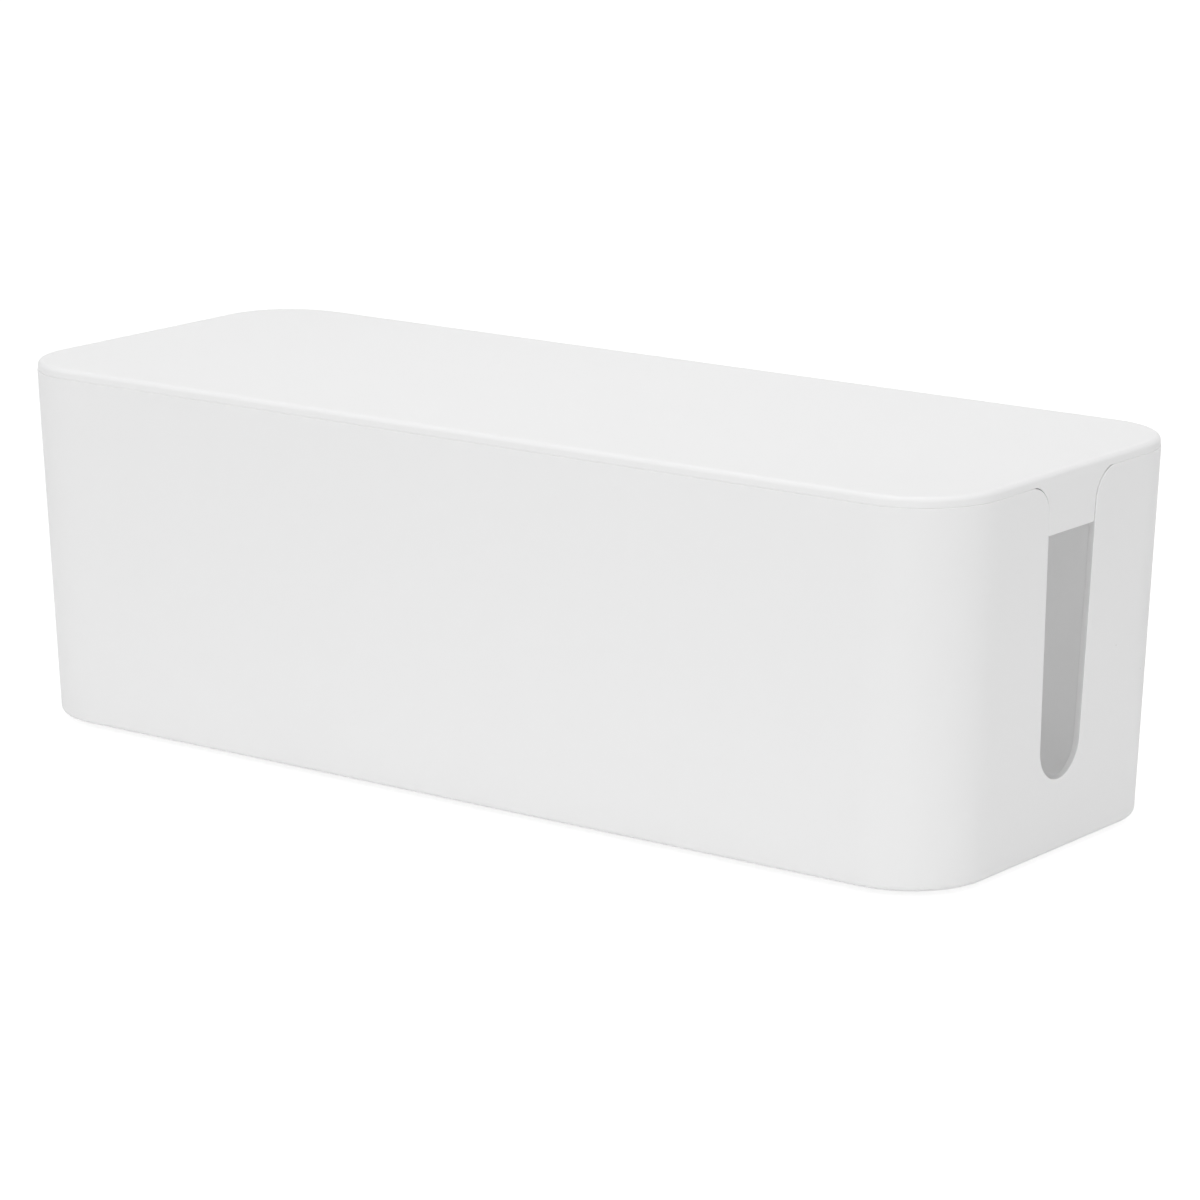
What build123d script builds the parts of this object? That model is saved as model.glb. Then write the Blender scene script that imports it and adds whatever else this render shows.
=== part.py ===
from build123d import *
import os
from math import cos, radians, sin, tan

# Cable management box: an open moulded box with a cable slot in each end, a lift-off lid whose
# moulded tongues close the top of the slots, and four rubber feet set in its underside.
#
# Frame: millimetres, +Z up. X runs along the length, and the front long wall faces -Y.
# The origin is at the middle of the surface that the feet stand on.

# ------------------------------------------------------------------ body
RIM_LENGTH = 405.0          # outside, along X, at the rim
RIM_WIDTH = 152.0           # outside, along Y, at the rim
BODY_HEIGHT = 127.5         # underside to rim
END_DRAFT = 2.09            # degrees that each end wall leans out
SIDE_DRAFT = 1.54           # degrees that each long wall leans out
CORNER_RADIUS = 29.3        # upright outside corners
WALL_THICKNESS = 2.2        # measured level
FLOOR_THICKNESS = 2.4
BASE_FILLET = 2.4           # outside, walls into underside
FLOOR_FILLET = 1.6          # inside, walls into floor
LIP_CHAMFER = 0.2           # both edges of the rim and of the slots

# ------------------------------------------------------------------ cable slots, one in each end
SLOT_END_RADIUS = 12.2      # round lower end
SLOT_END_HEIGHT = 37.7      # underside of the body to the centre of the round end
SLOT_TAPER = 1.7            # degrees that each side leans out
SLOT_FLARE_RADIUS = 11.0    # sides into rim

# ------------------------------------------------------------------ lid
LID_RISE = 3.5              # rim to top face
LID_THICKNESS = 2.2         # top panel
LID_INSET = 0.2             # lid's edge inside the body's rim
LID_DRAFT = 2.3             # degrees that the lid's edge leans in
LID_TOP_FILLET = 1.8
LID_EDGE_CHAMFER = 0.2      # lower outside edge and outline of the tongues
SKIRT_DEPTH = 5.0           # rim to lower edge of the locating skirt
SKIRT_THICKNESS = 1.6
SKIRT_CLEARANCE = 0.4       # skirt to inner wall
TONGUE_DEPTH = 17.5         # rim to lower edge of a tongue
TONGUE_CLEARANCE = 0.4      # tongue to slot
TONGUE_CORNER_RADIUS = 0.6
GUSSET_THICKNESS = 1.4
GUSSET_SPACING = 15.0       # between the two gussets behind a tongue
GUSSET_REACH = 8.0          # along the panel, in from the back of the skirt
GUSSET_STOP = 3.0           # lower end of a gusset above the edge of its tongue

# ------------------------------------------------------------------ feet
FOOT_DIAMETER = 12.5
FOOT_PROUD = 2.0            # below the underside of the body
FOOT_SOCKET_DEPTH = 0.8
FOOT_SOCKET_CLEARANCE = 0.25
FOOT_EDGE_CHAMFER = 0.6
FOOT_END_INSET = 34.0       # foot centre in from the end of the base
FOOT_SIDE_INSET = 24.0      # foot centre in from the side of the base

# ------------------------------------------------------------------ moulding gate under the body
GATE_RECESS_DIAMETER = 9.0
GATE_RECESS_DEPTH = 0.6
GATE_STUB_DIAMETER = 2.2
GATE_STUB_CLEARANCE = 0.2   # stub's end below the underside's level

# ------------------------------------------------------------------ worked-out levels and places
UNDERSIDE = FOOT_PROUD
FLOOR = UNDERSIDE + FLOOR_THICKNESS
RIM = UNDERSIDE + BODY_HEIGHT
LID_TOP = RIM + LID_RISE
PANEL_UNDERSIDE = LID_TOP - LID_THICKNESS
SKIRT_BOTTOM = RIM - SKIRT_DEPTH
TONGUE_BOTTOM = RIM - TONGUE_DEPTH
SLOT_CENTRE = UNDERSIDE + SLOT_END_HEIGHT
SKIRT_INSET = WALL_THICKNESS + SKIRT_CLEARANCE
SKIRT_BACK = SKIRT_INSET + SKIRT_THICKNESS
CUT_MARGIN = 5.0            # how far a cutting tool runs past what it cuts
TOUCHING = 0.01             # edges nearer than this to a face or a level lie on it
CROSSING = 1.5 * WALL_THICKNESS     # edges that run across the wall are shorter than this

RIM_PLANE = Plane.XY.offset(RIM)
BASE_HALF_LENGTH = RIM_LENGTH / 2 - BODY_HEIGHT * tan(radians(END_DRAFT))
BASE_HALF_WIDTH = RIM_WIDTH / 2 - BODY_HEIGHT * tan(radians(SIDE_DRAFT))
FOOT_X = BASE_HALF_LENGTH - FOOT_END_INSET
FOOT_Y = BASE_HALF_WIDTH - FOOT_SIDE_INSET


def drafted_block(inset, low, high, end_draft, side_draft):
    """Round-cornered block, `inset` inside the rim's outline where it passes the rim's level.

    Positive drafts make its walls lean out towards the top.
    """
    block = Box(RIM_LENGTH - 2 * inset, RIM_WIDTH - 2 * inset, high - low)
    block = Pos(0, 0, (low + high) / 2) * block
    block = draft(block.faces().filter_by(Axis.X), RIM_PLANE, -end_draft)
    block = draft(block.faces().filter_by(Axis.Y), RIM_PLANE, -side_draft)
    uprights = block.edges().filter_by(lambda edge: abs((edge @ 1 - edge @ 0).Z) > (high - low) / 2)
    return fillet(uprights, CORNER_RADIUS - inset)


def wall_block(inset, low, high):
    """Block whose sides run parallel to the body's outer walls, `inset` inside them."""
    return drafted_block(inset, low, high, END_DRAFT, SIDE_DRAFT)


def slot_tool(clearance):
    """Solid that fills both cable slots, drawn `clearance` inside their edges.

    The sides run tangent from the round lower end up to the flares, which curve out into the rim.
    Above the rim the outline goes on as a wide band, so that the rim is open across the flares.
    """
    lean = radians(SLOT_TAPER)
    end_radius = SLOT_END_RADIUS - clearance
    side_low = (end_radius * cos(lean), SLOT_CENTRE - end_radius * sin(lean))
    band_low = RIM + clearance
    side_high = (side_low[0] + (band_low - side_low[1]) * tan(lean), band_low)
    band_edge = side_high[0] + SLOT_FLARE_RADIUS + CUT_MARGIN
    band_high = LID_TOP + CUT_MARGIN

    right = [side_low, side_high, (band_edge, band_low), (band_edge, band_high)]
    left = [(-y, z) for y, z in reversed(right)]
    lower_end = ThreePointArc(left[-1], (0, SLOT_CENTRE - end_radius), right[0])
    outline = make_face(lower_end + Polyline(*right, *left))
    throat = outline.vertices().filter_by(lambda corner: abs(abs(corner.X) - side_high[0]) < TOUCHING)
    outline = fillet(throat, SLOT_FLARE_RADIUS + clearance)
    return extrude(Plane.YZ * outline, amount=RIM_LENGTH / 2 + CUT_MARGIN, both=True)


def slot_reach():
    """Half the width that a slot takes out of the rim, across its flares."""
    lean = radians(SLOT_TAPER)
    side_at_rim = SLOT_END_RADIUS / cos(lean) + (RIM - SLOT_CENTRE) * tan(lean)
    return side_at_rim + SLOT_FLARE_RADIUS / tan((radians(90) + lean) / 2)


def lip_edges(shell):
    """Edges of the rim and of both slots, on the outside and the inside of the wall."""
    slot_bottom = SLOT_CENTRE - SLOT_END_RADIUS
    reach = slot_reach()
    along_wall = shell.edges().filter_by(lambda edge: edge.length > CROSSING)
    upper = along_wall.filter_by(lambda edge: edge.center().Z > slot_bottom)
    return upper.filter_by(lambda edge: RIM - edge.center().Z < TOUCHING or abs(edge.center().Y) < reach)


def foot_places():
    """Each foot's name and the place of its centre."""
    return {
        "foot_front_left": (-FOOT_X, -FOOT_Y),
        "foot_front_right": (FOOT_X, -FOOT_Y),
        "foot_back_left": (-FOOT_X, FOOT_Y),
        "foot_back_right": (FOOT_X, FOOT_Y),
    }


def make_body():
    """Open box with drafted walls, a slot in each end, four foot sockets and the gate's recess."""
    outside = wall_block(0, UNDERSIDE, RIM)
    outside = fillet(outside.faces().sort_by(Axis.Z)[0].edges(), BASE_FILLET)
    inside = wall_block(WALL_THICKNESS, FLOOR, RIM + CUT_MARGIN)
    inside = fillet(inside.faces().sort_by(Axis.Z)[0].edges(), FLOOR_FILLET)
    shell = outside - inside - slot_tool(0)
    shell = chamfer(lip_edges(shell), LIP_CHAMFER)

    socket = Cylinder(FOOT_DIAMETER / 2 + FOOT_SOCKET_CLEARANCE, 2 * FOOT_SOCKET_DEPTH)
    for x, y in foot_places().values():
        shell -= Pos(x, y, UNDERSIDE) * socket
    shell -= Pos(0, 0, UNDERSIDE) * Cylinder(GATE_RECESS_DIAMETER / 2, 2 * GATE_RECESS_DEPTH)
    stub_height = GATE_RECESS_DEPTH - GATE_STUB_CLEARANCE
    stub_middle = UNDERSIDE + GATE_RECESS_DEPTH - stub_height / 2
    return shell + Pos(0, 0, stub_middle) * Cylinder(GATE_STUB_DIAMETER / 2, stub_height)


def make_tongues():
    """Both tongues, which follow the end walls and fill the top of the slots."""
    band = wall_block(LID_INSET, TONGUE_BOTTOM, RIM) - wall_block(SKIRT_INSET, TONGUE_BOTTOM, RIM)
    tongues = band & slot_tool(TONGUE_CLEARANCE)
    lower_edges = tongues.edges().group_by(Axis.Z)[0]
    return fillet(lower_edges.filter_by(Axis.X, tolerance=END_DRAFT), TONGUE_CORNER_RADIUS)


def is_crease(edge):
    """Whether an edge is the crease across the root of a tongue."""
    return RIM - edge.center().Z < TOUCHING and abs(edge.center().Y) < TOUCHING


def outline_edges(slab):
    """Lower outside edge of the lid and the outside edges of its tongues, which form one loop.

    The creases stay out of it.
    """
    follower = wall_block(LID_INSET, TONGUE_BOTTOM, RIM)
    walls = follower.faces().sort_by(Axis.Z)[1:-1]
    low = slab.edges().filter_by(lambda edge: edge.center().Z < RIM + TOUCHING)
    outside = low.filter_by(lambda edge: min(wall.distance_to(edge @ 0.5) for wall in walls) < TOUCHING)
    return outside.filter_by(lambda edge: not is_crease(edge))


def make_gussets():
    """Two upright ribs behind each tongue, from the panel down the back of the tongue."""
    back_at_rim = RIM_LENGTH / 2 - SKIRT_INSET
    low = TONGUE_BOTTOM + GUSSET_STOP
    tip_x = back_at_rim - (RIM - low) * tan(radians(END_DRAFT))
    panel_x = RIM_LENGTH / 2 - SKIRT_BACK - GUSSET_REACH
    side_view = Polygon(
        (tip_x, low),
        (back_at_rim, RIM),
        (back_at_rim, PANEL_UNDERSIDE),
        (panel_x, PANEL_UNDERSIDE),
        align=None,
    )
    rib = extrude(Plane.XZ * side_view, amount=GUSSET_THICKNESS / 2, both=True)
    pair = [Pos(0, side * GUSSET_SPACING / 2, 0) * rib for side in (-1, 1)]
    return pair + [mirror(each, Plane.YZ) for each in pair]


def make_lid():
    """Flat panel with a rounded edge, a locating skirt and a tongue with two gussets at each end."""
    lid = drafted_block(LID_INSET, RIM, LID_TOP, -LID_DRAFT, -LID_DRAFT)
    lid = fillet(lid.faces().sort_by(Axis.Z)[-1].edges(), LID_TOP_FILLET)
    lid = lid + make_tongues()
    lid = chamfer(outline_edges(lid), LID_EDGE_CHAMFER)
    lid = lid + wall_block(SKIRT_INSET, SKIRT_BOTTOM, PANEL_UNDERSIDE)
    lid = lid - wall_block(SKIRT_BACK, SKIRT_BOTTOM, PANEL_UNDERSIDE)
    return lid + make_gussets()


def make_foot():
    """Round rubber pad with a broken lower edge, standing on the ground at the origin."""
    height = FOOT_PROUD + FOOT_SOCKET_DEPTH
    foot = Pos(0, 0, height / 2) * Cylinder(FOOT_DIAMETER / 2, height)
    return chamfer(foot.faces().sort_by(Axis.Z)[0].edges(), FOOT_EDGE_CHAMFER)


def main():
    """Build every piece and write one STEP file for each."""
    pieces = {"body": make_body(), "lid": make_lid()}
    for name, (x, y) in foot_places().items():
        pieces[name] = Pos(x, y, 0) * make_foot()

    os.makedirs("parts", exist_ok=True)
    for name, piece in pieces.items():
        export_step(piece, f"parts/{name}.step")


main()
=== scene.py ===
"""Cable management box: its shells, finishes, floor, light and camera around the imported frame.

Lengths are in metres, in the frame's own axes: +X along the box, -Y towards its front, +Z up, with
the origin under the middle of the box, on the surface that its feet stand on.
"""
import logging
from collections.abc import Iterable, Sequence
from dataclasses import dataclass, field, replace
from enum import Enum
from math import asin, cos, pi, radians, sin, tan

import bmesh
import bpy
from mathutils import Matrix, Vector


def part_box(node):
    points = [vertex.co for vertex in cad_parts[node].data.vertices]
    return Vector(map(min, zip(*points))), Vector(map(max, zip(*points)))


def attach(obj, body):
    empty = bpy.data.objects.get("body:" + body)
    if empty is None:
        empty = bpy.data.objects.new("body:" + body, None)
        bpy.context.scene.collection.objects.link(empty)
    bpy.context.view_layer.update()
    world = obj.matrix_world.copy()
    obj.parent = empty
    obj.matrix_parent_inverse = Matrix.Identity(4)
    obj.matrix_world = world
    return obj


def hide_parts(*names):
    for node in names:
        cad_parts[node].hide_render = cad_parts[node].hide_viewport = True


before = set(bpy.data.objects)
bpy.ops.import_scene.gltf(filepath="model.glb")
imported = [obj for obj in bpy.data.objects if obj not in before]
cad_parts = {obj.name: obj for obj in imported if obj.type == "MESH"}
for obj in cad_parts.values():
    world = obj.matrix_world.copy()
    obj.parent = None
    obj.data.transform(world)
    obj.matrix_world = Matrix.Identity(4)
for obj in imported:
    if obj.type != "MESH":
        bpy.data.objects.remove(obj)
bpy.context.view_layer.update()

LOG = logging.getLogger("cable_box")

MM = 0.001
QUARTER = pi / 2
CORNERS = 4
SHARP_ANGLE = radians(35)      # faces that meet at more than this keep a crisp edge

MeshPoint = bmesh.types.BMVert
Colour = tuple[float, float, float, float]


class End(Enum):
    """The two short ends of the box, with the side of the frame that each one faces."""

    RIGHT = 1
    LEFT = -1

    @property
    def corner_before(self) -> int:
        """Corner that comes before this end, going round anticlockwise from above."""
        return 3 if self is End.RIGHT else 1

    @property
    def corner_after(self) -> int:
        """Corner that comes after this end, going round anticlockwise from above."""
        return 0 if self is End.RIGHT else 2


class Side(Enum):
    """The sides of a moulded wall and its cut edge, as places in a piece's list of finishes."""

    OUTER = 0
    INNER = 1
    EDGE = 2


def put_in_scene(data: bpy.types.ID) -> bpy.types.Object:
    """Makes an object of a mesh, a lamp's light or a camera, and links it to the scene.

    Args:
        data: what the object shows, and whose name it takes.

    Returns:
        The object.
    """
    made = bpy.data.objects.new(data.name, data)
    bpy.context.scene.collection.objects.link(made)
    return made


# ------------------------------------------------------------------ forms
@dataclass(frozen=True)
class WallForm:
    """Round-cornered outline whose walls lean, as the walls of a moulding do.

    The half sizes hold at `level`. A positive draft makes a wall lean out towards the top.
    """

    half_length: float
    half_width: float
    level: float
    corner_radius: float
    end_draft: float
    side_draft: float

    def half_x(self, height: float) -> float:
        """Half the length at a height."""
        return self.half_length + (height - self.level) * tan(self.end_draft)

    def half_y(self, height: float) -> float:
        """Half the width at a height."""
        return self.half_width + (height - self.level) * tan(self.side_draft)

    def corner_point(self, corner: int, turn: float, height: float, inset: float) -> Vector:
        """Point on a round corner.

        Args:
            corner: 0 at +X +Y, and on anticlockwise from above.
            turn: angle into that corner's quarter turn.
            height: level of the point.
            inset: distance inside the outline.

        Returns:
            The point, in the frame's axes.
        """
        side_x = 1 if corner in (0, 3) else -1
        side_y = 1 if corner in (0, 1) else -1
        radius = self.corner_radius - inset
        angle = corner * QUARTER + turn
        return Vector((
            side_x * (self.half_x(height) - self.corner_radius) + radius * cos(angle),
            side_y * (self.half_y(height) - self.corner_radius) + radius * sin(angle),
            height,
        ))


@dataclass(frozen=True)
class OutlinePoint:
    """Point of an outline drawn on an end wall, with the direction into the plastic there."""

    y: float
    z: float
    into_y: float
    into_z: float

    def mirrored(self) -> "OutlinePoint":
        """The same point on the other side of the box's middle plane."""
        return OutlinePoint(-self.y, self.z, -self.into_y, self.into_z)


@dataclass(frozen=True)
class Round:
    """Circle that an outline on an end wall follows for a stretch.

    `into` is 1 where the plastic lies outside the circle, and -1 where it lies inside.
    """

    y: float
    z: float
    radius: float
    into: int

    def at(self, angle: float) -> OutlinePoint:
        """Point on the circle.

        Args:
            angle: where it lies, from +Y towards +Z.

        Returns:
            The point, whose direction runs along the circle's radius.
        """
        out_y, out_z = cos(angle), sin(angle)
        place = (self.y + self.radius * out_y, self.z + self.radius * out_z)
        return OutlinePoint(*place, self.into * out_y, self.into * out_z)

    def arc(self, first: float, last: float, steps: int) -> list[OutlinePoint]:
        """Points along the circle.

        Args:
            first: angle of the first point.
            last: angle of the last point.
            steps: number of parts that the arc is drawn in.

        Returns:
            The points, with both ends.
        """
        return [self.at(first + (last - first) * step / steps) for step in range(steps + 1)]

    def crossing(self, height: float) -> float:
        """Angle at which the circle's -Y side passes a height."""
        return pi - asin((height - self.z) / self.radius)


@dataclass(frozen=True)
class SlotForm:
    """Cable slot in an end wall: a round lower end, leaning sides and flares into the rim."""

    rim: float
    centre_height: float
    end_radius: float = 12.2 * MM
    taper: float = radians(1.7)
    flare_radius: float = 11.0 * MM
    end_steps: int = 16
    flare_steps: int = 10

    @property
    def flare(self) -> Round:
        """The flare on the +Y side, which runs smoothly into the rim and the slot's side."""
        height = self.rim - self.flare_radius
        return Round(self.side_y(height, -self.flare_radius), height, self.flare_radius, -1)

    def side_y(self, height: float, inside: float) -> float:
        """Distance of a slot's side from its middle, for a line drawn `inside` that side."""
        rise = (height - self.centre_height) * sin(self.taper)
        return (self.end_radius - inside + rise) / cos(self.taper)

    def cut_outline(self) -> list[OutlinePoint]:
        """The edge of the slot.

        Returns:
            The points from the rim at -Y, down round the lower end and up to the rim at +Y.
        """
        half = Round(0, self.centre_height, self.end_radius, 1).arc(-QUARTER, -self.taper, self.end_steps)
        half += self.flare.arc(pi - self.taper, QUARTER, self.flare_steps)
        return [point.mirrored() for point in reversed(half[1:])] + half


@dataclass(frozen=True)
class TongueForm:
    """Tongue under each end of the lid, which fills the top of a slot with an even gap."""

    slot: SlotForm
    low: float
    skirt_bottom: float
    edge_round: float
    clearance: float = 0.4 * MM
    corner_radius: float = 0.6 * MM
    flare_steps: int = 8
    corner_steps: int = 4

    @property
    def flare(self) -> Round:
        """The tongue's own flare, about the centre of the slot's."""
        return replace(self.slot.flare, radius=self.slot.flare_radius + self.clearance, into=1)

    def root(self) -> OutlinePoint:
        """Where the outline leaves the lid's lower edge.

        Returns:
            The point, with a direction between those of the lower edge and of the flare.
        """
        point = self.flare.at(self.flare.crossing(self.slot.rim))
        return replace(point, into_y=point.into_y / (1 + point.into_z), into_z=1.0)

    def outline(self) -> list[OutlinePoint]:
        """The edge of the tongue.

        Returns:
            The points from the lid's lower edge at -Y, round the tongue and back up at +Y. The
            second from each end is where the crease across the root meets the rounded edge, and
            the one at `skirt_index` from each end lies level with the skirt's lower edge.
        """
        slot, flare = self.slot, self.flare
        crease = replace(flare, radius=flare.radius + self.edge_round).crossing(slot.rim)
        skirt = flare.crossing(self.skirt_bottom)
        half = [self.root(), *flare.arc(crease, skirt, self.flare_steps)]
        half += flare.arc(skirt, pi - slot.taper, self.corner_steps)[1:]
        centre_z = self.low + self.corner_radius
        centre_y = slot.side_y(centre_z, self.clearance + self.corner_radius)
        corner = Round(centre_y, centre_z, self.corner_radius, -1)
        half += corner.arc(-slot.taper, -QUARTER, self.corner_steps)
        return [point.mirrored() for point in half] + half[::-1]

    @property
    def skirt_index(self) -> int:
        """Place, from either end of the outline, of the point level with the skirt's lower edge."""
        return self.flare_steps + 1


# ------------------------------------------------------------------ meshes
@dataclass
class Course:
    """One closed row of mesh points round the box: four corners, and points along each end."""

    corners: list[list[MeshPoint]]
    ends: dict[End, list[MeshPoint]]

    def around(self) -> list[MeshPoint]:
        """Goes once round the row.

        Returns:
            All its points, anticlockwise from above.
        """
        row = list(self.ends[End.RIGHT])
        row += self.corners[0] + self.corners[1] + self.ends[End.LEFT]
        return row + self.corners[2] + self.corners[3]

    def across(self, end: End) -> list[MeshPoint]:
        """Its points across one end, from the last of one corner to the first of the next."""
        before, after = self.corners[end.corner_before], self.corners[end.corner_after]
        return [before[-1], *self.ends[end], after[0]]


@dataclass
class MeshMaker:
    """Builds one closed mesh from courses, strips and flat faces."""

    corner_steps: int = 24
    circle_steps: int = 48
    side: Side = Side.OUTER
    mesh: bmesh.types.BMesh = field(default_factory=bmesh.new)

    def point(self, place: Vector | Sequence[float]) -> MeshPoint:
        """Adds one mesh point."""
        return self.mesh.verts.new(place)

    def face(self, points: Iterable[MeshPoint]) -> None:
        """Adds one flat face on the side that is being built."""
        self.mesh.faces.new(list(points)).material_index = self.side.value

    def course(self, form: WallForm, height: float, inset: float) -> Course:
        """Adds a level row of points round the corners of a form.

        Args:
            form: the form that the row follows.
            height: level of the row.
            inset: distance inside the form's outline.

        Returns:
            The row, with nothing along its ends yet.
        """
        turns = [QUARTER * step / self.corner_steps for step in range(self.corner_steps + 1)]
        corners = [
            [self.point(form.corner_point(corner, turn, height, inset)) for turn in turns]
            for corner in range(CORNERS)
        ]
        return Course(corners, {end: [] for end in End})

    def join(self, first: Sequence[MeshPoint], second: Sequence[MeshPoint], closed: bool = True) -> None:
        """Adds the four-sided faces between two rows.

        Args:
            first: a row of points.
            second: a row of as many points.
            closed: whether the rows run all the way round.
        """
        last = len(first) if closed else len(first) - 1
        for index in range(last):
            other = (index + 1) % len(first)
            self.face((first[index], first[other], second[other], second[index]))

    def join_courses(self, courses: Sequence[Course]) -> None:
        """Joins each course to the next one, all the way round."""
        for first, second in zip(courses, courses[1:]):
            self.join(first.around(), second.around())

    def join_sides(self, first: Course, second: Course) -> None:
        """Joins two courses along the corners and long sides, and leaves the ends open.

        Args:
            first: a course.
            second: the course to join it to.
        """
        for start in (0, 2):
            self.join(
                first.corners[start] + first.corners[start + 1],
                second.corners[start] + second.corners[start + 1],
                closed=False,
            )

    def join_walls(self, plain: Course, cut: Course) -> None:
        """Joins a plain course to one whose ends follow the slots, with one flat face per end.

        Args:
            plain: the course with straight ends.
            cut: the course whose ends follow the slots.
        """
        self.join_sides(plain, cut)
        for end in End:
            self.face(plain.across(end) + cut.across(end)[::-1])

    def circle(self, centre: Sequence[float], radius: float, height: float) -> list[MeshPoint]:
        """Adds a level circle of points.

        Args:
            centre: X and Y of its centre.
            radius: of the circle.
            height: level of the circle.

        Returns:
            The points, anticlockwise from above.
        """
        turns = (2 * pi * step / self.circle_steps for step in range(self.circle_steps))
        return [
            self.point((centre[0] + radius * cos(turn), centre[1] + radius * sin(turn), height))
            for turn in turns
        ]

    def turned(self, centre: Sequence[float], profile: Sequence[tuple[float, float]]) -> list[MeshPoint]:
        """Adds a surface turned about an upright axis and closes its last circle.

        Args:
            centre: X and Y of the axis.
            profile: radius and height of each circle, in order.

        Returns:
            The first circle's points.
        """
        circles = [self.circle(centre, radius, height) for radius, height in profile]
        for first, second in zip(circles, circles[1:]):
            self.join(first, second)
        self.face(circles[-1])
        return circles[0]

    def fill_level(self, border: Sequence[MeshPoint], holes: Iterable[Sequence[MeshPoint]]) -> None:
        """Fills a level face that has round holes.

        Args:
            border: the points round the face.
            holes: the points round each hole.
        """
        edges = []
        for row in (border, *holes):
            for index, start in enumerate(row):
                pair = (start, row[(index + 1) % len(row)])
                edges.append(self.mesh.edges.get(pair) or self.mesh.edges.new(pair))
        bmesh.ops.triangle_fill(self.mesh, use_beauty=True, edges=edges, normal=(0, 0, -1))

    def finish(self, name: str, creases: Iterable[tuple[MeshPoint, MeshPoint]] = ()) -> bpy.types.Object:
        """Closes the mesh and puts it in the scene with smooth rounds and crisp corners.

        Args:
            name: the piece's name.
            creases: edges that stay crisp although their faces meet almost flat.

        Returns:
            The piece.
        """
        bmesh.ops.recalc_face_normals(self.mesh, faces=self.mesh.faces)
        for edge in self.mesh.edges:
            edge.smooth = edge.calc_face_angle(pi) < SHARP_ANGLE
        for pair in creases:
            self.mesh.edges.get(pair).smooth = False
        for face in self.mesh.faces:
            face.smooth = True
        data = bpy.data.meshes.new(name)
        self.mesh.to_mesh(data)
        self.mesh.free()
        piece = put_in_scene(data)
        shading = piece.modifiers.new("even_shading", "WEIGHTED_NORMAL")
        shading.mode = "FACE_AREA_WITH_ANGLE"
        shading.keep_sharp = True
        return piece


def flat_to_wall(radius: float, draft: float, steps: int) -> list[tuple[float, float]]:
    """Round between a level face and a leaning wall.

    Args:
        radius: of the round.
        draft: angle that the wall leans away from the level face's side.
        steps: number of parts that the arc is drawn in.

    Returns:
        Inset from the wall and distance from the level face, from that face to the wall.
    """
    offsets = []
    for step in range(steps + 1):
        angle = (QUARTER - draft) * step / steps
        inset = radius * (1 / cos(draft) - sin(angle) - cos(angle) * tan(draft))
        offsets.append((inset, radius * (1 - cos(angle))))
    return offsets


def edge_to_edge(radius: float, steps: int) -> list[tuple[float, float]]:
    """Round of a square edge.

    Args:
        radius: of the round.
        steps: number of parts that the arc is drawn in.

    Returns:
        The distances from the edge along its two faces, from the one face to the other.
    """
    angles = [QUARTER * step / steps for step in range(steps + 1)]
    return [(radius * (1 - sin(angle)), radius * (1 - cos(angle))) for angle in angles]


@dataclass(frozen=True)
class EdgeSweep:
    """Closed edge round the box that follows a level line and, on each end, an outline.

    `plastic` is 1 where the wall goes up from the edge and -1 where it goes down.
    """

    above: WallForm
    below: WallForm
    inset: float
    plastic: int
    outline: Sequence[OutlinePoint]

    def form(self, height: float) -> WallForm:
        """The form that holds at a height."""
        return self.above if height > self.below.level else self.below

    def course(self, maker: MeshMaker, slide: float, depth: float) -> Course:
        """Adds a row of points beside the edge.

        Args:
            maker: the piece's mesh.
            slide: distance from the edge, along the wall and into its plastic.
            depth: distance inside the wall's face.

        Returns:
            The row, whose ends follow the outline.
        """
        inset, level = self.inset + depth, self.below.level + self.plastic * slide
        row = maker.course(self.form(level), level, inset)
        for end in End:
            for point in self.outline:
                height = point.z + point.into_z * slide
                out = self.form(height).half_x(height) - inset
                along = point.y + point.into_y * slide
                row.ends[end].append(maker.point((end.value * out, end.value * along, height)))
        return row


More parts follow.
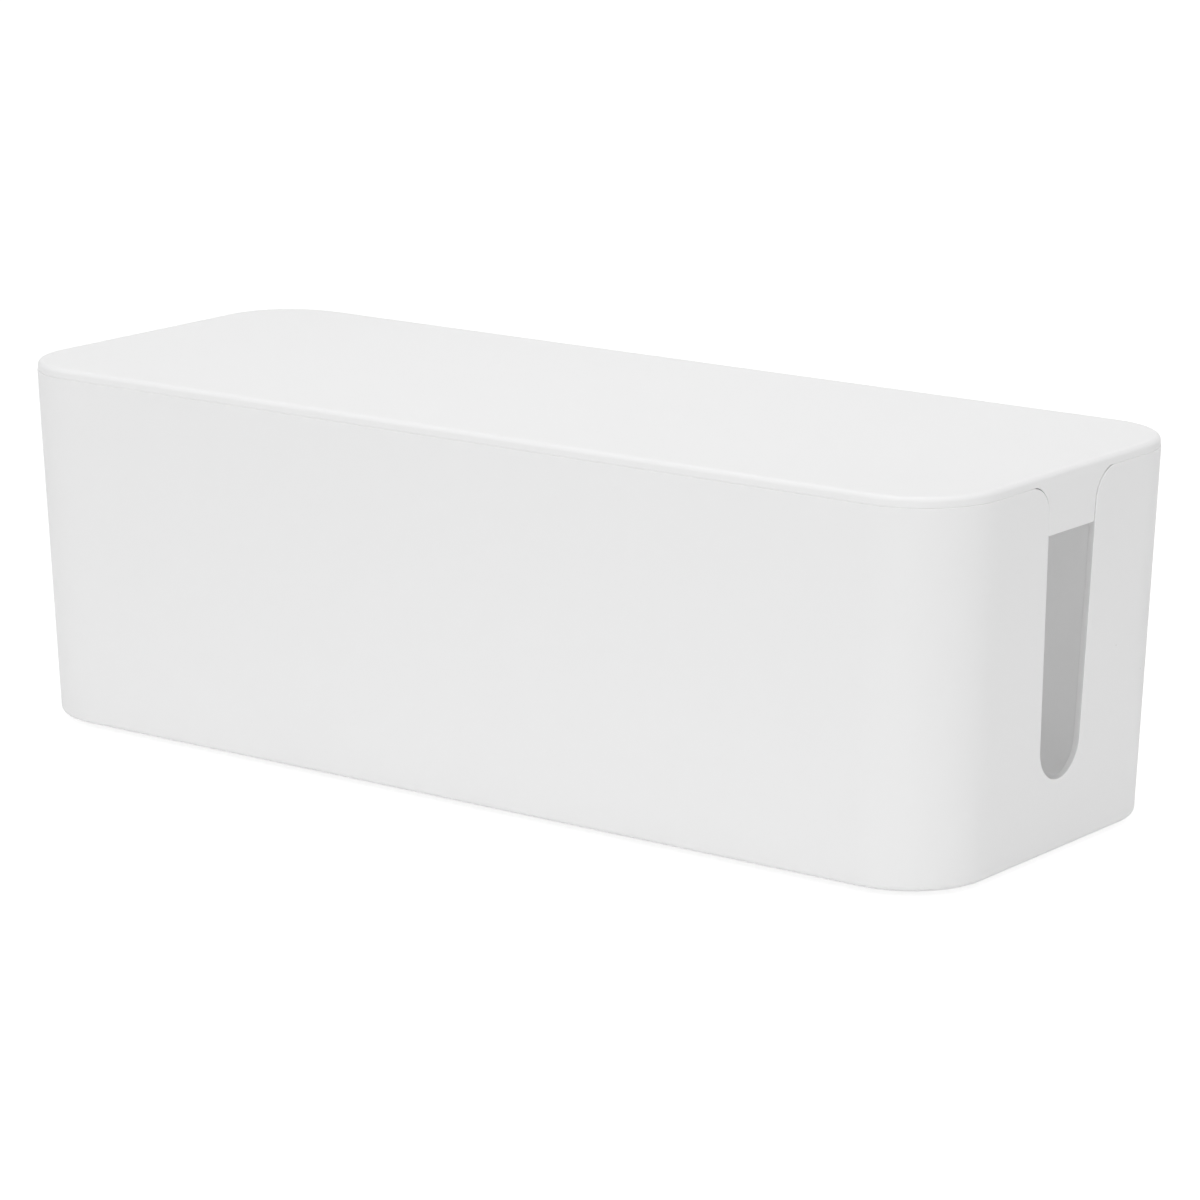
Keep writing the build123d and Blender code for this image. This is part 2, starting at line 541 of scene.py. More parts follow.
# ------------------------------------------------------------------ node work
@dataclass(frozen=True)
class NodeSheet:
    """Adds and joins the nodes of one tree."""

    tree: bpy.types.NodeTree

    @staticmethod
    def of(owner: bpy.types.Material | bpy.types.World) -> "NodeSheet":
        """Empties the tree of a material or a world.

        Args:
            owner: the material or the world.

        Returns:
            The sheet of its tree.
        """
        owner.use_nodes = True
        owner.node_tree.nodes.clear()
        return NodeSheet(owner.node_tree)

    def add(self, kind: str, **settings: object) -> bpy.types.Node:
        """Adds a node.

        Args:
            kind: the node's type.
            settings: its own settings, by name.

        Returns:
            The node.
        """
        node = self.tree.nodes.new(kind)
        for name, value in settings.items():
            setattr(node, name, value)
        return node

    def feed(self, target: bpy.types.NodeSocket, source: object) -> None:
        """Gives an input its value.

        Args:
            target: the input.
            source: the value, or the output that feeds the input.
        """
        if isinstance(source, bpy.types.NodeSocket):
            self.tree.links.new(source, target)
        else:
            target.default_value = source

    def maths(self, operation: str, first: object, second: object = 0.0) -> bpy.types.NodeSocket:
        """Adds a Math node.

        Args:
            operation: what it works out.
            first: its first value, or the output that feeds it.
            second: its second value, or the output that feeds it.

        Returns:
            The result's socket.
        """
        node = self.add("ShaderNodeMath", operation=operation)
        self.feed(node.inputs[0], first)
        self.feed(node.inputs[1], second)
        return node.outputs[0]

    def spread(self, value: object, source: tuple[float, float],
               target: tuple[float, float] = (0, 1)) -> bpy.types.NodeSocket:
        """Maps a value from one range to another.

        Args:
            value: the value or the socket that carries it.
            source: the range that it comes in.
            target: the range that it leaves in.

        Returns:
            The mapped value's socket.
        """
        node = self.add("ShaderNodeMapRange")
        self.feed(node.inputs["Value"], value)
        names = ("From Min", "From Max", "To Min", "To Max")
        for name, number in zip(names, (*source, *target)):
            self.feed(node.inputs[name], number)
        return node.outputs["Result"]

    def blend(self, share: object, first: object, second: object) -> bpy.types.NodeSocket:
        """Mixes two colours.

        Args:
            share: of the second colour.
            first: the colour at a share of 0.
            second: the colour at a share of 1.

        Returns:
            The mixed colour's socket.
        """
        node = self.add("ShaderNodeMix", data_type="RGBA")
        colours = [socket for socket in node.inputs if socket.type == "RGBA"]
        self.feed(node.inputs[0], share)
        self.feed(colours[0], first)
        self.feed(colours[1], second)
        return next(socket for socket in node.outputs if socket.type == "RGBA")

    def mix_shaders(self, share: object, first: object, second: object) -> bpy.types.NodeSocket:
        """Mixes two shaders.

        Args:
            share: of the second shader.
            first: the shader at a share of 0.
            second: the shader at a share of 1.

        Returns:
            The mixed shader's socket.
        """
        node = self.add("ShaderNodeMixShader")
        for socket, source in zip(node.inputs, (share, first, second)):
            self.feed(socket, source)
        return node.outputs["Shader"]

    def seen_directly(self) -> bpy.types.NodeSocket:
        """Finds out whether the camera sees a thing, directly or in gloss or glass.

        Returns:
            The socket of a share that is 1 where it does.
        """
        path = self.add("ShaderNodeLightPath")
        seen = self.maths("MAXIMUM", path.outputs["Is Camera Ray"], path.outputs["Is Glossy Ray"])
        return self.maths("MAXIMUM", seen, path.outputs["Is Transmission Ray"])


# ------------------------------------------------------------------ shared effects
class Effect(Enum):
    """Surface effects that several finishes use, each one a shader node group."""

    GRAIN = "moulded_grain"
    CLOUDS = "slow_clouds"
    DUST = "dust_specks"

    def group(self) -> bpy.types.NodeTree:
        """The effect's node group, built the first time that it is asked for."""
        made = bpy.data.node_groups.get(self.value)
        return made or EFFECT_BUILDERS[self](bpy.data.node_groups.new(self.value, "ShaderNodeTree"))


def group_sheet(tree: bpy.types.NodeTree, inputs: dict[str, float],
                outputs: Sequence[str]) -> tuple[NodeSheet, bpy.types.Node, bpy.types.Node]:
    """Gives a node group its named inputs and outputs.

    Args:
        tree: the empty group.
        inputs: each input's name and the value it starts at.
        outputs: each output's name.

    Returns:
        The group's sheet, its input node and its output node.
    """
    for name, value in inputs.items():
        socket = tree.interface.new_socket(name, in_out="INPUT", socket_type="NodeSocketFloat")
        socket.default_value = value
    for name in outputs:
        tree.interface.new_socket(name, in_out="OUTPUT", socket_type="NodeSocketFloat")
    sheet = NodeSheet(tree)
    return sheet, sheet.add("NodeGroupInput"), sheet.add("NodeGroupOutput")


def noise(sheet: NodeSheet, size: object, detail: float) -> bpy.types.NodeSocket:
    """Adds noise in the object's own space.

    Args:
        sheet: the group's sheet.
        size: of the noise's features, in metres.
        detail: number of finer layers.

    Returns:
        The noise's socket, from about 0.2 to 0.8.
    """
    place = sheet.add("ShaderNodeTexCoord").outputs["Object"]
    pattern = sheet.add("ShaderNodeTexNoise")
    sheet.feed(pattern.inputs["Vector"], place)
    sheet.feed(pattern.inputs["Scale"], sheet.maths("DIVIDE", 1.0, size))
    sheet.feed(pattern.inputs["Detail"], detail)
    return pattern.outputs["Fac"]


def build_grain(tree: bpy.types.NodeTree) -> bpy.types.NodeTree:
    """Builds the fine grain of a spark-eroded mould.

    Args:
        tree: the empty group.

    Returns:
        The group, which gives a height of 0 to 1.
    """
    sheet, given, result = group_sheet(tree, {"Grain Size": 0.4 * MM}, ("Height",))
    grain = noise(sheet, given.outputs["Grain Size"], detail=2)
    valley, peak = 0.25, 0.75
    sheet.feed(result.inputs["Height"], sheet.spread(grain, (valley, peak)))
    return tree


def build_clouds(tree: bpy.types.NodeTree) -> bpy.types.NodeTree:
    """Builds a slow unevenness, as of handling and cooling.

    Args:
        tree: the empty group.

    Returns:
        The group, which gives a value of 0 to 1.
    """
    sheet, given, result = group_sheet(tree, {"Patch Size": 60 * MM}, ("Cloud",))
    patches = noise(sheet, given.outputs["Patch Size"], detail=3)
    clear, dense = 0.3, 0.7
    sheet.feed(result.inputs["Cloud"], sheet.spread(patches, (clear, dense)))
    return tree


def build_dust(tree: bpy.types.NodeTree) -> bpy.types.NodeTree:
    """Builds sparse specks of dust.

    Args:
        tree: the empty group.

    Returns:
        The group, which gives a mask that is 1 on a speck.
    """
    inputs = {"Spacing": 18 * MM, "Speck Size": 0.5 * MM, "Share": 0.3}
    sheet, given, result = group_sheet(tree, inputs, ("Specks",))
    cells = sheet.add("ShaderNodeTexVoronoi")
    sheet.feed(cells.inputs["Vector"], sheet.add("ShaderNodeTexCoord").outputs["Object"])
    sheet.feed(cells.inputs["Scale"], sheet.maths("DIVIDE", 1.0, given.outputs["Spacing"]))
    reach = sheet.maths("DIVIDE", given.outputs["Speck Size"], given.outputs["Spacing"])
    near = sheet.maths("LESS_THAN", cells.outputs["Distance"], reach)
    pick = sheet.add("ShaderNodeSeparateColor")
    sheet.feed(pick.inputs["Color"], cells.outputs["Color"])
    chosen = sheet.maths("LESS_THAN", pick.outputs["Red"], given.outputs["Share"])
    sheet.feed(result.inputs["Specks"], sheet.maths("MULTIPLY", near, chosen))
    return tree


EFFECT_BUILDERS = {Effect.GRAIN: build_grain, Effect.CLOUDS: build_clouds, Effect.DUST: build_dust}


def use_effect(sheet: NodeSheet, effect: Effect, **values: float) -> bpy.types.Node:
    """Places an effect in a material.

    Args:
        sheet: the material's sheet.
        effect: the effect to place.
        values: the group's inputs, named in lower case with underscores.

    Returns:
        The group node.
    """
    node = sheet.add("ShaderNodeGroup", node_tree=effect.group())
    for name, value in values.items():
        node.inputs[name.replace("_", " ").title()].default_value = value
    return node


# ------------------------------------------------------------------ finishes
@dataclass(frozen=True)
class Finish:
    """What the finishes of this box have in common: a colour, a gloss and a fine grain."""

    name: str
    colour: Colour
    roughness: float
    grain_size: float
    grain_depth: float
    cloud_size: float
    cloud_roughness: float
    dust_colour: Colour
    dust_spacing: float
    dust_size: float
    dust_share: float

    def material(self) -> bpy.types.Material:
        """Builds the finish.

        Returns:
            The material.
        """
        made = bpy.data.materials.new(self.name)
        sheet = NodeSheet.of(made)
        shader = sheet.add("ShaderNodeBsdfPrincipled")
        output = sheet.add("ShaderNodeOutputMaterial")
        sheet.feed(output.inputs["Surface"], shader.outputs["BSDF"])
        self.colour_nodes(sheet, shader)
        self.gloss_nodes(sheet, shader)
        self.body_nodes(shader)
        return made

    def colour_nodes(self, sheet: NodeSheet, shader: bpy.types.Node) -> None:
        """Gives the surface its colour and its specks of dust.

        Args:
            sheet: the material's sheet.
            shader: its surface shader.
        """
        dust = use_effect(sheet, Effect.DUST, spacing=self.dust_spacing, speck_size=self.dust_size,
                          share=self.dust_share)
        mixed = sheet.blend(dust.outputs["Specks"], self.colour, self.dust_colour)
        sheet.feed(shader.inputs["Base Color"], mixed)

    def gloss_nodes(self, sheet: NodeSheet, shader: bpy.types.Node) -> None:
        """Gives the surface a slightly uneven gloss and its grain.

        Args:
            sheet: the material's sheet.
            shader: its surface shader.
        """
        clouds = use_effect(sheet, Effect.CLOUDS, patch_size=self.cloud_size)
        low, high = self.roughness - self.cloud_roughness, self.roughness + self.cloud_roughness
        sheet.feed(shader.inputs["Roughness"], sheet.spread(clouds.outputs["Cloud"], (0, 1), (low, high)))
        grain = use_effect(sheet, Effect.GRAIN, grain_size=self.grain_size)
        bump = sheet.add("ShaderNodeBump")
        sheet.feed(bump.inputs["Distance"], self.grain_depth)
        sheet.feed(bump.inputs["Height"], grain.outputs["Height"])
        sheet.feed(shader.inputs["Normal"], bump.outputs["Normal"])

    def body_nodes(self, shader: bpy.types.Node) -> None:
        """What lies under the surface. Most finishes are opaque."""


@dataclass(frozen=True)
class MouldedPlastic(Finish):
    """White plastic, thin enough to let some light through its walls."""

    free_path: float

    def body_nodes(self, shader: bpy.types.Node) -> None:
        """Lets light wander through the wall.

        Args:
            shader: the material's surface shader.
        """
        shader.inputs["Subsurface Weight"].default_value = 1.0
        shader.inputs["Subsurface Radius"].default_value = (1.0, 1.0, 1.0)
        shader.inputs["Subsurface Scale"].default_value = self.free_path


BODY_PLASTIC = MouldedPlastic(
    name="white_body_plastic",
    colour=(0.87, 0.87, 0.87, 1.0),
    roughness=0.5,
    grain_size=0.45 * MM,
    grain_depth=0.006 * MM,
    cloud_size=70 * MM,
    cloud_roughness=0.03,
    dust_colour=(0.74, 0.74, 0.73, 1.0),
    dust_spacing=22 * MM,
    dust_size=0.35 * MM,
    dust_share=0.12,
    free_path=0.5 * MM,
)
LID_PLASTIC = replace(
    BODY_PLASTIC,
    name="white_lid_plastic",
    cloud_size=90 * MM,
    dust_colour=(0.76, 0.76, 0.75, 1.0),
    dust_spacing=26 * MM,
    free_path=0.3 * MM,
)
INNER_PATH = 34 * MM       # long, because the inner sides are lit through the walls
BODY_INSIDE = replace(BODY_PLASTIC, name="white_body_inside", free_path=INNER_PATH)
LID_INSIDE = replace(LID_PLASTIC, name="white_lid_inside", free_path=INNER_PATH)
# Cut faces of the rim and slots: colour raised to 0.97 from the plastic's 0.87, a painted lightening that
# stands in for light scattered through the wall's thickness.
BODY_EDGE_PAINTED_LIGHT = replace(
    BODY_PLASTIC, name="white_body_edge_painted_light", colour=(0.97, 0.97, 0.97, 1.0), free_path=0.1 * MM
)
FOOT_RUBBER = Finish(
    name="grey_foot_rubber",
    colour=(0.30, 0.30, 0.31, 1.0),
    roughness=0.72,
    grain_size=0.6 * MM,
    grain_depth=0.03 * MM,
    cloud_size=6 * MM,
    cloud_roughness=0.06,
    dust_colour=(0.45, 0.45, 0.44, 1.0),
    dust_spacing=2.5 * MM,
    dust_size=0.25 * MM,
    dust_share=0.3,
)


# ------------------------------------------------------------------ pieces
@dataclass(frozen=True)
class BoxSizes:
    """Sizes that the body and the lid share. The outside ones come from the frame."""

    rim: float
    underside: float
    lid_top: float
    half_length: float
    half_width: float
    corner_radius: float = 29.3 * MM
    end_draft: float = radians(2.09)
    side_draft: float = radians(1.54)
    wall: float = 2.2 * MM
    slot_end_height: float = 37.7 * MM

    @staticmethod
    def from_frame() -> "BoxSizes":
        """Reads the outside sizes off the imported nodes.

        Returns:
            The sizes.
        """
        body_low, body_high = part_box("body")
        lid_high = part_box("lid")[1]
        return BoxSizes(body_high.z, body_low.z, lid_high.z, body_high.x, body_high.y)

    @property
    def mean_draft(self) -> float:
        """Lean of the walls where a round runs past ends and sides alike."""
        return (self.end_draft + self.side_draft) / 2

    @property
    def walls(self) -> WallForm:
        """The outside of the body's walls.

        Returns:
            The form, which leans out towards the rim.
        """
        return WallForm(
            self.half_length, self.half_width, self.rim, self.corner_radius, self.end_draft, self.side_draft
        )

    @property
    def slot(self) -> SlotForm:
        """The cable slot of each end."""
        return SlotForm(self.rim, self.underside + self.slot_end_height)


def place_piece(piece: bpy.types.Object, finishes: Sequence[Finish],
                body: str, node: str) -> None:
    """Dresses a piece and puts it in the place of its CAD node.

    Args:
        piece: the finished mesh.
        finishes: the finish of its outer side and, where it has them, of its inner side and edge.
        body: the CAD body that it rides on.
        node: the CAD node that it stands for.
    """
    for finish in finishes:
        piece.data.materials.append(bpy.data.materials.get(finish.name) or finish.material())
    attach(piece, body)
    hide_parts(node)
    LOG.info("%s stands for %s, with %d faces", piece.name, node, len(piece.data.polygons))


@dataclass(frozen=True)
class Body:
    """The box itself: one moulding, open at the top and slotted at both ends."""

    sizes: BoxSizes
    floor: float = 2.4 * MM
    base_round: float = 2.4 * MM
    floor_round: float = 1.6 * MM
    lip_round: float = 0.2 * MM
    inner_lip_round: float = 0.08 * MM
    socket_radius: float = 6.5 * MM
    socket_depth: float = 0.8 * MM
    gate_radius: float = 4.5 * MM
    gate_depth: float = 0.6 * MM
    stub_radius: float = 1.1 * MM
    stub_end: float = 0.2 * MM
    round_steps: int = 8
    lip_steps: int = 4
    finishes: tuple[Finish, ...] = (BODY_PLASTIC, BODY_INSIDE, BODY_EDGE_PAINTED_LIGHT)

    def dress(self, piece: bpy.types.Object) -> None:
        """Gives the shell its finishes and its place."""
        place_piece(piece, self.finishes, body="body", node="body")

    def build(self, foot_places: Iterable[Sequence[float]]) -> bpy.types.Object:
        """Builds the shell.

        Args:
            foot_places: X and Y of each foot's socket.

        Returns:
            The finished piece, with no material yet.
        """
        sizes, maker = self.sizes, MeshMaker()
        outside = self.base_courses(maker)
        lip = self.lip_courses(maker)
        inside = self.floor_courses(maker)
        maker.join_courses(outside)
        maker.join_walls(outside[-1], lip[0])
        maker.join_courses(lip[:self.lip_steps + 1])
        # the rim's and slots' cut faces take the edge finish, whose colour is painted lighter than the
        # plastic
        maker.side = Side.EDGE
        maker.join_courses(lip[self.lip_steps:])
        maker.side = Side.INNER
        maker.join_walls(inside[-1], lip[-1])
        maker.join_courses(inside)
        maker.face(inside[0].around())
        maker.side = Side.OUTER

        low = sizes.underside
        socket = [(self.socket_radius, low), (self.socket_radius, low + self.socket_depth)]
        gate = [
            (self.gate_radius, low),
            (self.gate_radius, low + self.gate_depth),
            (self.stub_radius, low + self.gate_depth),
            (self.stub_radius, low + self.stub_end),
        ]
        holes = [maker.turned(place, socket) for place in foot_places]
        holes.append(maker.turned((0, 0), gate))
        maker.fill_level(outside[0].around(), holes)
        return maker.finish("box_body")

    def base_courses(self, maker: MeshMaker) -> list[Course]:
        """Adds the round from the underside up into the outer walls.

        Args:
            maker: the body's mesh.

        Returns:
            The courses, from the lowest up.
        """
        offsets = flat_to_wall(self.base_round, self.sizes.mean_draft, self.round_steps)
        low = self.sizes.underside
        return [maker.course(self.sizes.walls, low + rise, inset) for inset, rise in offsets]

    def floor_courses(self, maker: MeshMaker) -> list[Course]:
        """Adds the round from the floor up into the inner walls.

        Args:
            maker: the body's mesh.

        Returns:
            The courses, from the lowest up.
        """
        offsets = flat_to_wall(self.floor_round, self.sizes.mean_draft, self.round_steps)
        low, wall = self.sizes.underside + self.floor, self.sizes.wall
        return [maker.course(self.sizes.walls, low + rise, wall + inset) for inset, rise in offsets]

    def lip_courses(self, maker: MeshMaker) -> list[Course]:
        """Adds the rim and the edges of both slots.

        Args:
            maker: the body's mesh.

        Returns:
            The courses, from the outer wall over the rounded lip to the inner wall.
        """
        walls = self.sizes.walls
        sweep = EdgeSweep(walls, walls, 0, -1, self.sizes.slot.cut_outline())
        outer = edge_to_edge(self.lip_round, self.lip_steps)
        back = edge_to_edge(self.inner_lip_round, self.lip_steps)
        inner = [(slide, self.sizes.wall - depth) for slide, depth in reversed(back)]
        return [sweep.course(maker, slide, depth) for slide, depth in outer + inner]


@dataclass(frozen=True)
class Lid:
    """The lid: a panel with a rounded edge, a locating skirt, and a tongue with gussets at each end."""

    sizes: BoxSizes
    inset: float = 0.2 * MM
    panel: float = 2.2 * MM
    edge_draft: float = radians(2.3)
    top_round: float = 1.8 * MM
    edge_round: float = 0.2 * MM
    skirt_depth: float = 5.0 * MM
    skirt_inset: float = 2.6 * MM
    skirt_thickness: float = 1.6 * MM
    tongue_depth: float = 17.5 * MM
    gusset_thickness: float = 1.4 * MM
    gusset_spacing: float = 15.0 * MM
    gusset_reach: float = 8.0 * MM
    gusset_stop: float = 3.0 * MM
    round_steps: int = 10
    edge_steps: int = 4
    finishes: tuple[Finish, ...] = (LID_PLASTIC, LID_INSIDE)

    @property
    def edge_form(self) -> WallForm:
        """The lid's own edge, which leans in towards the top."""
        return replace(self.sizes.walls, end_draft=-self.edge_draft, side_draft=-self.edge_draft)

    @property
    def tongue(self) -> TongueForm:
        """The tongue of each end."""
        rim = self.sizes.rim
        return TongueForm(self.sizes.slot, rim - self.tongue_depth, rim - self.skirt_depth, self.edge_round)

    @property
    def skirt_back(self) -> float:
        """Inset of the skirt's inner face."""
        return self.skirt_inset + self.skirt_thickness

    @property
    def panel_low(self) -> float:
        """Height of the panel's underside."""
        return self.sizes.lid_top - self.panel

    def dress(self, piece: bpy.types.Object) -> None:
        """Gives the lid its finishes and its place."""
        place_piece(piece, self.finishes, body="lid", node="lid")

    def build(self) -> bpy.types.Object:
        """Builds the moulding.

        Returns:
            The finished piece, with no material yet.
        """
        maker = MeshMaker()
        top = self.top_courses(maker)
        maker.face(top[0].around())
        maker.join_courses(top)

        sweep = EdgeSweep(self.edge_form, self.sizes.walls, self.inset, 1, self.tongue.outline())
        offsets = edge_to_edge(self.edge_round, self.edge_steps)
        offsets.append((0, self.skirt_inset - self.inset))
        edge = [sweep.course(maker, slide, depth) for slide, depth in offsets]
        maker.join_courses(edge)
        maker.join_sides(top[-1], edge[0])
        creases = []
        crease = 2                 # place, from either end of a border, of the crease across the root
        for end in End:
            border = edge[0].across(end)
            first, last = border[:crease + 1], border[-crease - 1:]
            maker.face(top[-1].across(end) + last[::-1] + first[::-1])
            maker.face(border[crease:-crease])
            creases.append((first[-1], last[0]))

        maker.side = Side.INNER
        self.build_inside(maker, edge[-1])
        return maker.finish("box_lid", creases)

    def top_courses(self, maker: MeshMaker) -> list[Course]:
        """Adds the round from the top face down into the lid's edge.

        Args:
            maker: the lid's mesh.

        Returns:
            The courses, from the highest down.
        """
        offsets = flat_to_wall(self.top_round, self.edge_draft, self.round_steps)
        top = self.sizes.lid_top
        return [maker.course(self.edge_form, top - fall, self.inset + inset) for inset, fall in offsets]

    def build_inside(self, maker: MeshMaker, back: Course) -> None:
        """Builds the skirt, the backs of the tongues, the gussets and the underside of the panel.

        Args:
            maker: the lid's mesh.
            back: the row where the lid's underside and the tongues meet the skirt's outer face.
        """
        walls, index = self.sizes.walls, self.tongue.skirt_index
        outer = maker.course(walls, self.tongue.skirt_bottom, self.skirt_inset)
        inner = maker.course(walls, self.tongue.skirt_bottom, self.skirt_back)
        ceiling = maker.course(walls, self.panel_low, self.skirt_back)
        maker.join_sides(back, outer)
        maker.join_sides(outer, inner)
        maker.join_sides(inner, ceiling)
        for end in End:
            row = back.ends[end]
            back_first, back_last = back.across(end)[0], back.across(end)[-1]
            outer_first, outer_last = outer.across(end)
            inner_first, inner_last = inner.across(end)
            ceiling_first, ceiling_last = ceiling.across(end)
            maker.face([back_first, *row[:index + 1], outer_first])
            maker.face([*row[-index - 1:], back_last, outer_last])

            toes, heels, seats, roots, tips = self.gusset_rows(maker, end)
            maker.face([*row[index:len(row) - index], *notched(heels, toes)[::-1]])
            maker.face([outer_first, row[index], heels[0], seats[0], inner_first])
            maker.face([heels[1], heels[2], seats[2], seats[1]])
            maker.face([heels[3], row[-index - 1], outer_last, inner_last, seats[3]])
            maker.face([inner_first, seats[0], roots[0], ceiling_first])
            maker.face([seats[1], seats[2], roots[2], roots[1]])
            maker.face([seats[3], inner_last, ceiling_last, roots[3]])
            for side in zip(toes, heels, seats, roots, tips):
                maker.face(side)
            for start in (0, 2):
                maker.face([toes[start], toes[start + 1], tips[start + 1], tips[start]])
            ceiling.ends[end] = notched(roots, tips)
        maker.face(ceiling.around())

    def gusset_rows(self, maker: MeshMaker, end: End) -> list[list[MeshPoint]]:
        """Adds the corners of both gussets behind one tongue.

        Args:
            maker: the lid's mesh.
            end: the end of the lid that they are at.

        Returns:
            Rows of four points across the end: at the gussets' lower tips, where they meet the
            skirt's lower edge outside and inside, at the skirt's root, and out on the panel.
        """
        walls, tongue = self.sizes.walls, self.tongue
        toe, skirt_bottom = tongue.low + self.gusset_stop, tongue.skirt_bottom
        reach = walls.half_length - self.skirt_back - self.gusset_reach
        side_view = [
            (walls.half_x(toe) - self.skirt_inset, toe),
            (walls.half_x(skirt_bottom) - self.skirt_inset, skirt_bottom),
            (walls.half_x(skirt_bottom) - self.skirt_back, skirt_bottom),
            (walls.half_x(self.panel_low) - self.skirt_back, self.panel_low),
            (reach, self.panel_low),
        ]
        half = self.gusset_thickness / 2
        along = [side * self.gusset_spacing / 2 + face for side in (-1, 1) for face in (-half, half)]
        return [[maker.point((end.value * x, end.value * y, z)) for y in along] for x, z in side_view]


def notched(edge: Sequence[MeshPoint], tips: Sequence[MeshPoint]) -> list[MeshPoint]:
    """Runs along an edge, and round a notch between its first two and its last two points."""
    return [edge[0], tips[0], tips[1], edge[1], edge[2], tips[2], tips[3], edge[3]]


@dataclass(frozen=True)
class FootPad:
    """Round rubber pad, set in its socket in the underside."""

    name: str
    edge_round: float = 0.6 * MM
    round_steps: int = 6
    finishes: tuple[Finish, ...] = (FOOT_RUBBER,)

    @property
    def centre(self) -> Vector:
        """Middle of the pad."""
        low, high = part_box(self.name)
        return (low + high) / 2

    def dress(self, piece: bpy.types.Object) -> None:
        """Gives the pad its finish and its place."""
        place_piece(piece, self.finishes, body="body", node=self.name)

    def build(self) -> bpy.types.Object:
        """Builds the pad where its CAD node is.

        Returns:
            The finished piece, with no material yet.
        """
        low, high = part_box(self.name)
        radius = (high.x - low.x) / 2
        maker = MeshMaker()
        base = [
            (radius - inset, low.z + rise)
            for inset, rise in flat_to_wall(self.edge_round, 0, self.round_steps)
        ]
        top = (radius, high.z)
        maker.face(maker.turned(self.centre, [top, *base[::-1]]))
        return maker.finish(self.name.replace("foot", "pad"))


# ------------------------------------------------------------------ floor, light and camera
def direction(azimuth: float, elevation: float) -> Vector:
    """Direction from the box to something that stands round it.

    Args:
        azimuth: angle from straight in front of the box towards its right end.
        elevation: angle above the level.

    Returns:
        The direction, of length 1.
    """
    flat = cos(elevation)
    return Vector((sin(azimuth) * flat, -cos(azimuth) * flat, sin(elevation)))


@dataclass(frozen=True)
class Studio:
    """Pale floor and soft light round the box."""

    floor_size: float = 24.0
    floor_colour: Colour = (0.95, 0.95, 0.95, 1.0)
    seen_colour: Colour = (0.40, 0.40, 0.40, 1.0)
    seen_lift: float = 0.82
    sky: float = 0.66
    sky_lean: float = 0.36
    sky_azimuth: float = radians(34)

    def build(self) -> None:
        """Builds the floor and the sky."""
        self.build_floor()
        self.build_sky()

    def build_floor(self) -> None:
        """Builds the floor, white to the camera but for the box's shadow, and clear from below."""
        half = self.floor_size / 2
        data = bpy.data.meshes.new("studio_floor")
        corners = [(-half, -half, 0), (half, -half, 0), (half, half, 0), (-half, half, 0)]
        data.from_pydata(corners, [], [(0, 1, 2, 3)])
        floor = put_in_scene(data)

        made = bpy.data.materials.new("studio_floor")
        data.materials.append(made)
        sheet = NodeSheet.of(made)
        plain = sheet.add("ShaderNodeBsdfDiffuse")
        plain.inputs["Color"].default_value = self.floor_colour
        seen = sheet.add("ShaderNodeBsdfDiffuse")
        seen.inputs["Color"].default_value = self.seen_colour
        lift = sheet.add("ShaderNodeEmission")
        lift.inputs["Strength"].default_value = self.seen_lift
        lifted = sheet.add("ShaderNodeAddShader")
        sheet.feed(lifted.inputs[0], seen.outputs["BSDF"])
        sheet.feed(lifted.inputs[1], lift.outputs["Emission"])
        above = sheet.mix_shaders(sheet.seen_directly(), plain.outputs["BSDF"], lifted.outputs["Shader"])
        clear = sheet.add("ShaderNodeBsdfTransparent")
        from_below = sheet.add("ShaderNodeNewGeometry").outputs["Backfacing"]
        both = sheet.mix_shaders(from_below, above, clear.outputs["BSDF"])
        sheet.feed(sheet.add("ShaderNodeOutputMaterial").inputs["Surface"], both)

    def build_sky(self) -> None:
        """Lights the box from all round, most from its front right, with a white backdrop."""
        world = bpy.data.worlds.new("studio_sky")
        bpy.context.scene.world = world
        sheet = NodeSheet.of(world)
        light = sheet.add("ShaderNodeBackground")
        facing = sheet.add("ShaderNodeVectorMath", operation="DOT_PRODUCT")
        sheet.feed(facing.inputs[0], sheet.add("ShaderNodeTexCoord").outputs["Generated"])
        sheet.feed(facing.inputs[1], direction(self.sky_azimuth, 0.0))
        dim, bright = self.sky - self.sky_lean, self.sky + self.sky_lean
        strength = sheet.spread(facing.outputs["Value"], (-1, 1), (dim, bright))
        sheet.feed(light.inputs["Strength"], sheet.maths("MAXIMUM", strength, sheet.seen_directly()))
        light.inputs["Color"].default_value = (1.0, 1.0, 1.0, 1.0)
        sheet.feed(sheet.add("ShaderNodeOutputWorld").inputs["Surface"], light.outputs["Background"])


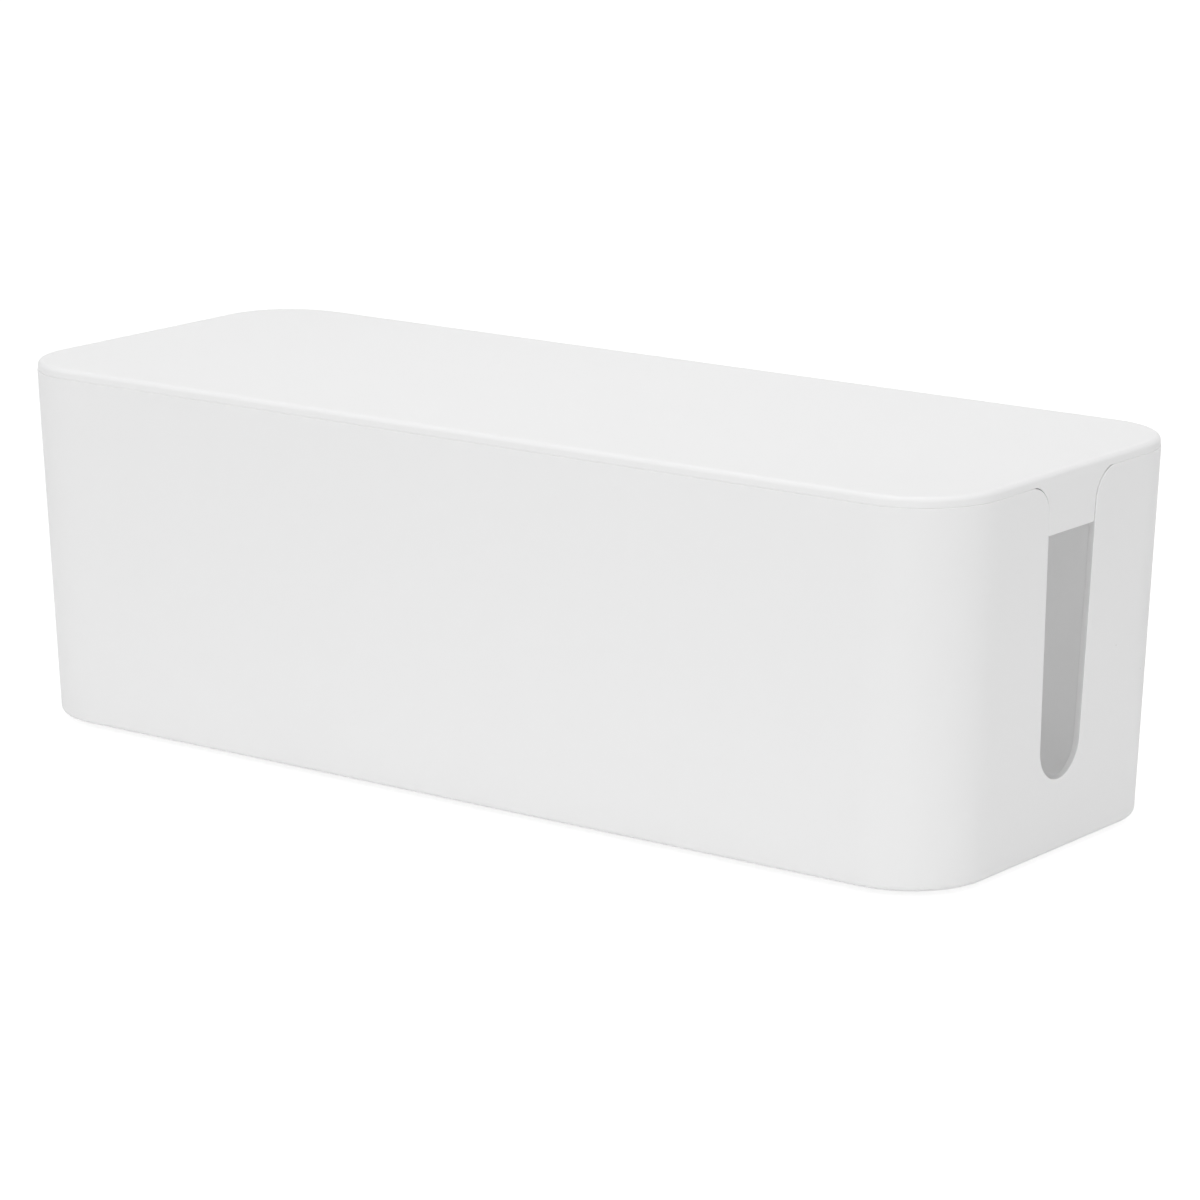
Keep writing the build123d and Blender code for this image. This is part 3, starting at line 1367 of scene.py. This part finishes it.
@dataclass(frozen=True)
class SoftLamp:
    """Large soft lamp that looks at the middle of the box."""

    name: str
    azimuth: float
    elevation: float
    distance: float
    width: float
    height: float
    power: float

    def build(self, target: Vector) -> None:
        """Puts the lamp in the scene.

        Args:
            target: the place that it faces.
        """
        data = bpy.data.lights.new(self.name, "AREA")
        data.shape = "RECTANGLE"
        data.size, data.size_y = self.width, self.height
        data.energy = self.power
        lamp = put_in_scene(data)
        back = direction(self.azimuth, self.elevation)
        lamp.location = target + back * self.distance
        lamp.rotation_mode = "QUATERNION"
        lamp.rotation_quaternion = back.to_track_quat("Z", "Y")
        lamp.visible_camera = False


LAMP_TARGET = (0.0, 0.0, 0.065)
LAMPS = (
    SoftLamp(
        name="overhead_softbox",
        azimuth=radians(0),
        elevation=radians(89),
        distance=1.0,
        width=0.8,
        height=0.8,
        power=3.2,
    ),
    SoftLamp(
        name="low_front_softbox",
        azimuth=radians(18),
        elevation=radians(8),
        distance=2.4,
        width=1.8,
        height=0.6,
        power=4.8,
    ),
)


@dataclass(frozen=True)
class StudioCamera:
    """Long lens in front of the box's right end, a little above its lid."""

    place: tuple[float, float, float] = (0.98906, -1.29863, 0.45051)
    azimuth: float = radians(37.014)
    elevation: float = radians(13.4865)
    roll: float = radians(0.0516)
    lens: float = 143.13
    sensor: float = 36.0

    def build(self) -> None:
        """Puts the camera in the scene."""
        back = direction(self.azimuth, self.elevation)
        level = Vector((cos(self.azimuth), sin(self.azimuth), 0.0))
        upright = back.cross(level)
        right = cos(self.roll) * level + sin(self.roll) * upright
        up = cos(self.roll) * upright - sin(self.roll) * level
        data = bpy.data.cameras.new("studio_camera")
        data.lens, data.sensor_width = self.lens, self.sensor
        camera = put_in_scene(data)
        turned = Matrix((right, up, back)).transposed().to_4x4()
        camera.matrix_world = Matrix.Translation(self.place) @ turned
        bpy.context.scene.camera = camera


def main() -> None:
    """Builds the pieces in order and puts them in the scene."""
    logging.basicConfig(level=logging.INFO, format="%(name)s: %(message)s")
    bpy.context.scene.view_settings.view_transform = "Standard"
    StudioCamera().build()
    Studio().build()
    for lamp in LAMPS:
        lamp.build(Vector(LAMP_TARGET))

    sizes = BoxSizes.from_frame()
    pads = [FootPad(f"foot_{depth}_{side}") for depth in ("front", "back") for side in ("left", "right")]
    body, lid = Body(sizes), Lid(sizes)
    body.dress(body.build([pad.centre for pad in pads]))
    lid.dress(lid.build())
    for pad in pads:
        pad.dress(pad.build())


if __name__ == "__main__":
    main()
